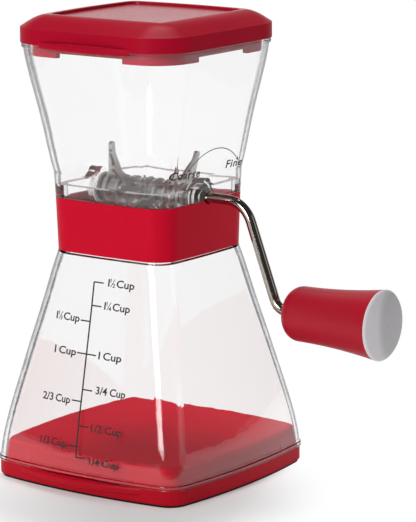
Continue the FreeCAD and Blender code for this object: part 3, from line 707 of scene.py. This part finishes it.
class MillColours(bpy.types.PropertyGroup):
    """Colours of the mill's parts."""

    # Painted shade: the lid is set a darker red than the housing, for the lesser light on it
    lid_red_shaded: FloatVectorProperty(
        name="Lid", description="Colour of the top lid",
        subtype="COLOR", size=3, min=0, max=1, default=paint(176, 8, 40))
    housing_red: FloatVectorProperty(
        name="Housing", description="Colour of the mill housing's band",
        subtype="COLOR", size=3, min=0, max=1, default=paint(208, 6, 42))
    base_red: FloatVectorProperty(
        name="Base", description="Colour of the base lid",
        subtype="COLOR", size=3, min=0, max=1, default=paint(188, 6, 34))
    grip_red: FloatVectorProperty(
        name="Grip", description="Colour of the crank's grip",
        subtype="COLOR", size=3, min=0, max=1, default=paint(178, 6, 36))
    cap_grey: FloatVectorProperty(
        name="Grip cap", description="Colour of the grip's cap",
        subtype="COLOR", size=3, min=0, max=1, default=paint(226, 223, 226))
    clear: FloatVectorProperty(
        name="Clear plastic", description="Tint of the clear plastic",
        subtype="COLOR", size=3, min=0, max=1, default=WHITE)
    # The clear plastic's corner lines are painted reflection
    clear_painted_lines: FloatVectorProperty(
        name="Clear edge", description="Tint of the lines along the clear plastic's round corners",
        subtype="COLOR", size=3, min=0, max=1, default=(0.15, 0.15, 0.18))
    steel: FloatVectorProperty(
        name="Steel", description="Colour of the stamped and turned steel",
        subtype="COLOR", size=3, min=0, max=1, default=(0.60, 0.59, 0.57))
    rod: FloatVectorProperty(
        name="Rod", description="Colour of the crank rod",
        subtype="COLOR", size=3, min=0, max=1, default=(0.50, 0.45, 0.40))
    bush: FloatVectorProperty(
        name="Bushes", description="Colour of the bearing bushes",
        subtype="COLOR", size=3, min=0, max=1, default=paint(226, 226, 222))
    rubber: FloatVectorProperty(
        name="Pad", description="Colour of the non-slip pad",
        subtype="COLOR", size=3, min=0, max=1, default=paint(16, 15, 15))
    ink: FloatVectorProperty(
        name="Ink", description="Colour of the printed scales",
        subtype="COLOR", size=3, min=0, max=1, default=paint(18, 15, 16))


class MillPrint(bpy.types.PropertyGroup):
    """Sizes and words of the printed marks."""

    cap_height: FloatProperty(
        name="Capitals", description="Height of the cup scale's capitals",
        unit="LENGTH", default=2.95 * MM, min=1 * MM, max=6 * MM)
    grind_cap_height: FloatProperty(
        name="Grind words", description="Height of the grind words' capitals",
        unit="LENGTH", default=3.2 * MM, min=1 * MM, max=6 * MM)
    line_width: FloatProperty(
        name="Lines", description="Width of the scale's lines",
        unit="LENGTH", default=0.72 * MM, min=0.2 * MM, max=2 * MM)
    coarse_word: StringProperty(
        name="First word", description="Word at the arrow's left end", default="Coarse")
    fine_word: StringProperty(
        name="Second word", description="Word at the arrow's right end", default="Fine")


class MillStudio(bpy.types.PropertyGroup):
    """Light and floor of the studio."""

    key_power: FloatProperty(
        name="Key lamp", description="Power of the large lamp in front",
        unit="POWER", default=7.6, min=0, max=100)
    fill_power: FloatProperty(
        name="Fill lamp", description="Power of the lamp at the right",
        unit="POWER", default=0.7, min=0, max=100)
    top_power: FloatProperty(
        name="Top lamp", description="Power of the lamp overhead, a little behind the mill",
        unit="POWER", default=6.8, min=0, max=100)
    ambient: FloatProperty(
        name="Room light", description="Light from all round", default=0.35, min=0, max=2)
    floor: FloatVectorProperty(
        name="Floor", description="Colour of the floor",
        subtype="COLOR", size=3, min=0, max=1, default=(0.92, 0.92, 0.92))


class NUTMILL_OT_red_plastic(bpy.types.Operator):
    """Finish the lid, the mill housing and the base in satin red plastic"""

    bl_idname = "nutmill.red_plastic"
    bl_label = "Red plastic"

    def execute(self, context):
        colours = context.scene.mill_colours
        wear(("top_lid",), moulded_plastic(
            "lid plastic", colours.lid_red_shaded, *LID_FINISH, coat=panel_gloss, relief=panel_grit))
        wear(("mill_housing",), moulded_plastic(
            "housing plastic", colours.housing_red, *HOUSING_FINISH))
        wear(("base_lid",), moulded_plastic(
            "base plastic", colours.base_red, *BASE_FINISH, coat=rim_gloss))
        return {"FINISHED"}


class NUTMILL_OT_clear_plastic(bpy.types.Operator):
    """Finish the hopper and the jar in clear plastic"""

    bl_idname = "nutmill.clear_plastic"
    bl_label = "Clear plastic"

    def execute(self, context):
        colours = context.scene.mill_colours
        for node in ("hopper", "jar"):
            wear((node,), clear_plastic(f"{node} plastic", colours.clear, colours.clear_painted_lines))
        return {"FINISHED"}


class NUTMILL_OT_steel(bpy.types.Operator):
    """Finish the crank rod, the rotor, the combs and the small parts in steel"""

    bl_idname = "nutmill.steel"
    bl_label = "Steel parts"

    def execute(self, context):
        colours = context.scene.mill_colours
        wear(("crank_rod",), polished_steel(
            "rod steel", colours.rod, ROD_ROUGHNESS, EVEN_STREAKS))
        wear(STAMPED_STEEL, polished_steel(
            "stamped steel", colours.steel, STAMPED_ROUGHNESS, ROLLED_STREAKS))
        wear(TURNED_STEEL, polished_steel(
            "turned steel", colours.steel, TURNED_ROUGHNESS, EVEN_STREAKS))
        return {"FINISHED"}


class NUTMILL_OT_grip(bpy.types.Operator):
    """Finish the grip and its cap"""

    bl_idname = "nutmill.grip"
    bl_label = "Grip and cap"

    def execute(self, context):
        colours = context.scene.mill_colours
        wear(("grip_body",), moulded_plastic("grip plastic", colours.grip_red, *GRIP_FINISH))
        # The cap's darker disc is painted shade.
        wear(("grip_cap",), moulded_plastic(
            "cap plastic", colours.cap_grey, *CAP_FINISH, painted_shade=cap_painted_shade))
        return {"FINISHED"}


class NUTMILL_OT_bushes_and_pad(bpy.types.Operator):
    """Finish the bearing bushes and the non-slip pad"""

    bl_idname = "nutmill.bushes_and_pad"
    bl_label = "Bushes and pad"

    def execute(self, context):
        colours = context.scene.mill_colours
        wear(("drive_bush", "idle_bush"), moulded_plastic(
            "bush plastic", colours.bush, *BUSH_FINISH))
        wear(("non_slip_pad",), soft_rubber("pad rubber", colours.rubber))
        return {"FINISHED"}


class NUTMILL_OT_cup_scale(bpy.types.Operator):
    """Print the cup scale on the jar's front wall"""

    bl_idname = "nutmill.cup_scale"
    bl_label = "Cup scale"

    def execute(self, context):
        sizes = context.scene.mill_print
        ink = printing_ink("scale ink", context.scene.mill_colours.ink)
        wall = Wall("jar", inward=(0, 1, 0), across=(1, 0, 0))
        lines = Drawing()
        labels = Drawing()
        lines.straight(scale_point(SCALE_BOTTOM), scale_point(SCALE_TOP), sizes.line_width)
        for height, whole, part, left, right, drop in CUP_MARKS:
            side = 1 if left > 0 else -1
            start = scale_point(height)
            end = start + Vector((side * TICK_LENGTH, 0))
            lines.straight(start, end, sizes.line_width * TICK_WIDTH_SHARE)
            label, width = cup_label(whole, part, sizes.cap_height)
            stretch = (right - left) / width
            foot = height - drop
            corners = [Vector((left + corner.x * stretch, foot + corner.y))
                       for corner in label.corners]
            labels.add(corners, label.faces)
        print_on("cup_scale_lines", lines, wall, "jar", ink)
        print_on("cup_scale_labels", labels, wall, "jar", ink)
        return {"FINISHED"}


class NUTMILL_OT_grind_marks(bpy.types.Operator):
    """Print the arrow and the two words above the crank"""

    bl_idname = "nutmill.grind_marks"
    bl_label = "Grind marks"

    def execute(self, context):
        sizes = context.scene.mill_print
        ink = printing_ink("arrow ink", context.scene.mill_colours.ink)
        wall = Wall("hopper", inward=(-1, 0, 0), across=(0, 1, 0))
        arrow = Drawing()
        centre = Vector((ARROW_CENTRE_Y, ARROW_CENTRE_Z))
        turn = ARROW_END - ARROW_START
        angles = [ARROW_START + turn * i / ARROW_STEPS for i in range(ARROW_STEPS + 1)]
        path = [centre + Vector((math.cos(a), math.sin(a))) * ARROW_RADIUS for a in angles]
        arrow.stroke(path, ARROW_WIDTH)
        for foot, before in ((path[0], path[2]), (path[-1], path[-3])):
            arrow.arrow_head(foot, foot - before, ARROW_HEAD)
        words = Drawing()
        for word, place, width, slope in (
                (sizes.coarse_word, COARSE_PLACE, COARSE_WIDTH, COARSE_SLOPE),
                (sizes.fine_word, FINE_PLACE, FINE_WIDTH, FINE_SLOPE)):
            words.letters(word, Vector(place), sizes.grind_cap_height, width, slope,
                          GRIND_SLANT, GRIND_SPACING)
        print_on("grind_arrow", arrow, wall, "mill", ink)
        print_on("grind_words", words, wall, "mill", ink)
        return {"FINISHED"}


def none_yet(depth):
    """1 while a ray has had no bounce of a kind, and 0 after one."""
    return depth.below(0.5)


def seen_straight(path):
    """1 for what the eye sees, also through clear plastic, and less once it has been mirrored.

    0 for all other rays, and for those that a matt surface has thrown back.
    """
    unmirrored = WHITE_AFTER_MIRROR + (1 - WHITE_AFTER_MIRROR) * none_yet(path["Glossy Depth"])
    direct = unmirrored * none_yet(path["Diffuse Depth"])
    return 1 - (1 - path["Is Camera Ray"]) * (1 - path["Is Transmission Ray"] * direct)


def lay_floor(colour):
    """A wide floor that keeps the mill's shadow and fades to plain white away from it."""
    half = FLOOR_HALF
    corners = [(-half, -half, 0), (half, -half, 0), (half, half, 0), (-half, half, 0)]
    mesh = bpy.data.meshes.new("floor")
    mesh.from_pydata(corners, [], [(0, 1, 2, 3)])
    material, finish = new_finish("floor white")
    aside = finish.add("VectorMath", {"operation": "SUBTRACT"}, {
        "Vector": finish.place(), "Vector_001": SHADOW_MIDDLE})["Vector"]
    distance = finish.add("VectorMath", {"operation": "LENGTH"}, {"Vector": aside})["Value"]
    fade = WHITE_IN_SHADOW + (1 - WHITE_IN_SHADOW) * finish.ease(distance, *SHADOW_FADE)
    path = finish.add("LightPath")
    seen = 1 - (1 - seen_straight(path)) * (1 - WHITE_MIRRORED * path["Is Glossy Ray"])
    paper = finish.add("BsdfDiffuse", {}, {"Color": colour})["BSDF"]
    white = finish.add("Emission", {}, {"Color": WHITE, "Strength": 1.0})["Emission"]
    finish.show(finish.choose(seen * fade, paper, white))
    mesh.materials.append(material)
    floor = bpy.data.objects.new("floor", mesh)
    bpy.context.scene.collection.objects.link(floor)


def light_room(ambient):
    """White for the eye, a graded room in what is mirrored, and even light for the rest."""
    world = bpy.data.worlds.new("studio")
    bpy.context.scene.world = world
    finish = Finish(world)
    direction = finish.add("TexCoord")["Generated"]
    beyond = (-math.sin(CAMERA_AZIMUTH), math.cos(CAMERA_AZIMUTH), 0.0)
    away = finish.add("VectorMath", {"operation": "DOT_PRODUCT"}, {
        "Vector": direction, "Vector_001": beyond})["Value"]
    height = finish.split(direction)["Z"]
    bright = finish.ease(away, *ROOM_BRIGHT_ACROSS) * finish.ease(height, *ROOM_BRIGHT_UP)
    graded = ROOM_DARK + (1 - ROOM_DARK) * bright
    even, white, room = (
        finish.add("Background", {}, {"Color": WHITE, "Strength": strength})["Background"]
        for strength in (ambient, 1.0, graded))
    path = finish.add("LightPath")
    mirrored = (1 - none_yet(path["Glossy Depth"])) * none_yet(path["Diffuse Depth"])
    around = finish.choose(mirrored, even, room)
    finish.add("OutputWorld", {}, {"Surface": finish.choose(seen_straight(path), around, white)})


def hang_lamp(name, power, place, width, height):
    """A rectangular lamp that faces the mill."""
    lamp = bpy.data.lights.new(name, "AREA")
    lamp.shape = "RECTANGLE"
    lamp.size = width
    lamp.size_y = height
    lamp.energy = power
    holder = bpy.data.objects.new(name, lamp)
    holder.location = place
    toward = Vector(LAMP_AIM) - Vector(place)
    holder.rotation_euler = toward.to_track_quat("-Z", "Y").to_euler()
    bpy.context.scene.collection.objects.link(holder)


def set_camera():
    """The photograph's view: aim, direction, roll and lens."""
    camera = bpy.data.cameras.new("camera")
    camera.sensor_fit = "HORIZONTAL"
    camera.sensor_width = CAMERA_SENSOR
    camera.lens = CAMERA_LENS
    camera.clip_end = CAMERA_REACH
    level = math.cos(CAMERA_ELEVATION)
    back = Vector((math.sin(CAMERA_AZIMUTH) * level, -math.cos(CAMERA_AZIMUTH) * level,
                   math.sin(CAMERA_ELEVATION)))
    holder = bpy.data.objects.new("camera", camera)
    turn = back.to_track_quat("Z", "Y").to_matrix().to_4x4()
    roll = Matrix.Rotation(CAMERA_ROLL, 4, "Z")
    holder.matrix_world = Matrix.Translation(CAMERA_AIM + back * CAMERA_DISTANCE) @ turn @ roll
    bpy.context.scene.collection.objects.link(holder)
    bpy.context.scene.camera = holder


class NUTMILL_OT_studio(bpy.types.Operator):
    """Lay the floor, hang the lamps and set the camera"""

    bl_idname = "nutmill.studio"
    bl_label = "Studio"

    def execute(self, context):
        studio = context.scene.mill_studio
        lay_floor(studio.floor)
        light_room(studio.ambient)
        hang_lamp("key lamp", studio.key_power, *KEY_LAMP)
        hang_lamp("fill lamp", studio.fill_power, *FILL_LAMP)
        hang_lamp("top lamp", studio.top_power, *TOP_LAMP)
        set_camera()
        context.scene.view_settings.view_transform = "Standard"
        return {"FINISHED"}


class NUTMILL_PT_panel(bpy.types.Panel):
    """Steps and settings of the nut mill"""

    bl_idname = "NUTMILL_PT_panel"
    bl_label = "Nut mill"
    bl_space_type = "VIEW_3D"
    bl_region_type = "UI"
    bl_category = "Nut mill"

    def draw(self, context):
        for operator in OPERATORS:
            self.layout.operator(operator.bl_idname)
        scene = context.scene
        for group in (scene.mill_colours, scene.mill_print, scene.mill_studio):
            for name in group.__annotations__:
                self.layout.prop(group, name)


OPERATORS = (
    NUTMILL_OT_red_plastic,
    NUTMILL_OT_clear_plastic,
    NUTMILL_OT_steel,
    NUTMILL_OT_grip,
    NUTMILL_OT_bushes_and_pad,
    NUTMILL_OT_cup_scale,
    NUTMILL_OT_grind_marks,
    NUTMILL_OT_studio,
)
CLASSES = (MillColours, MillPrint, MillStudio) + OPERATORS + (NUTMILL_PT_panel,)


def register():
    for item in CLASSES:
        bpy.utils.register_class(item)
    bpy.types.Scene.mill_colours = PointerProperty(type=MillColours)
    bpy.types.Scene.mill_print = PointerProperty(type=MillPrint)
    bpy.types.Scene.mill_studio = PointerProperty(type=MillStudio)


def unregister():
    del bpy.types.Scene.mill_studio
    del bpy.types.Scene.mill_print
    del bpy.types.Scene.mill_colours
    for item in reversed(CLASSES):
        bpy.utils.unregister_class(item)


def main():
    register()
    bpy.ops.nutmill.red_plastic()
    bpy.ops.nutmill.clear_plastic()
    bpy.ops.nutmill.steel()
    bpy.ops.nutmill.grip()
    bpy.ops.nutmill.bushes_and_pad()
    bpy.ops.nutmill.cup_scale()
    bpy.ops.nutmill.grind_marks()
    bpy.ops.nutmill.studio()


if __name__ == "__main__":
    main()
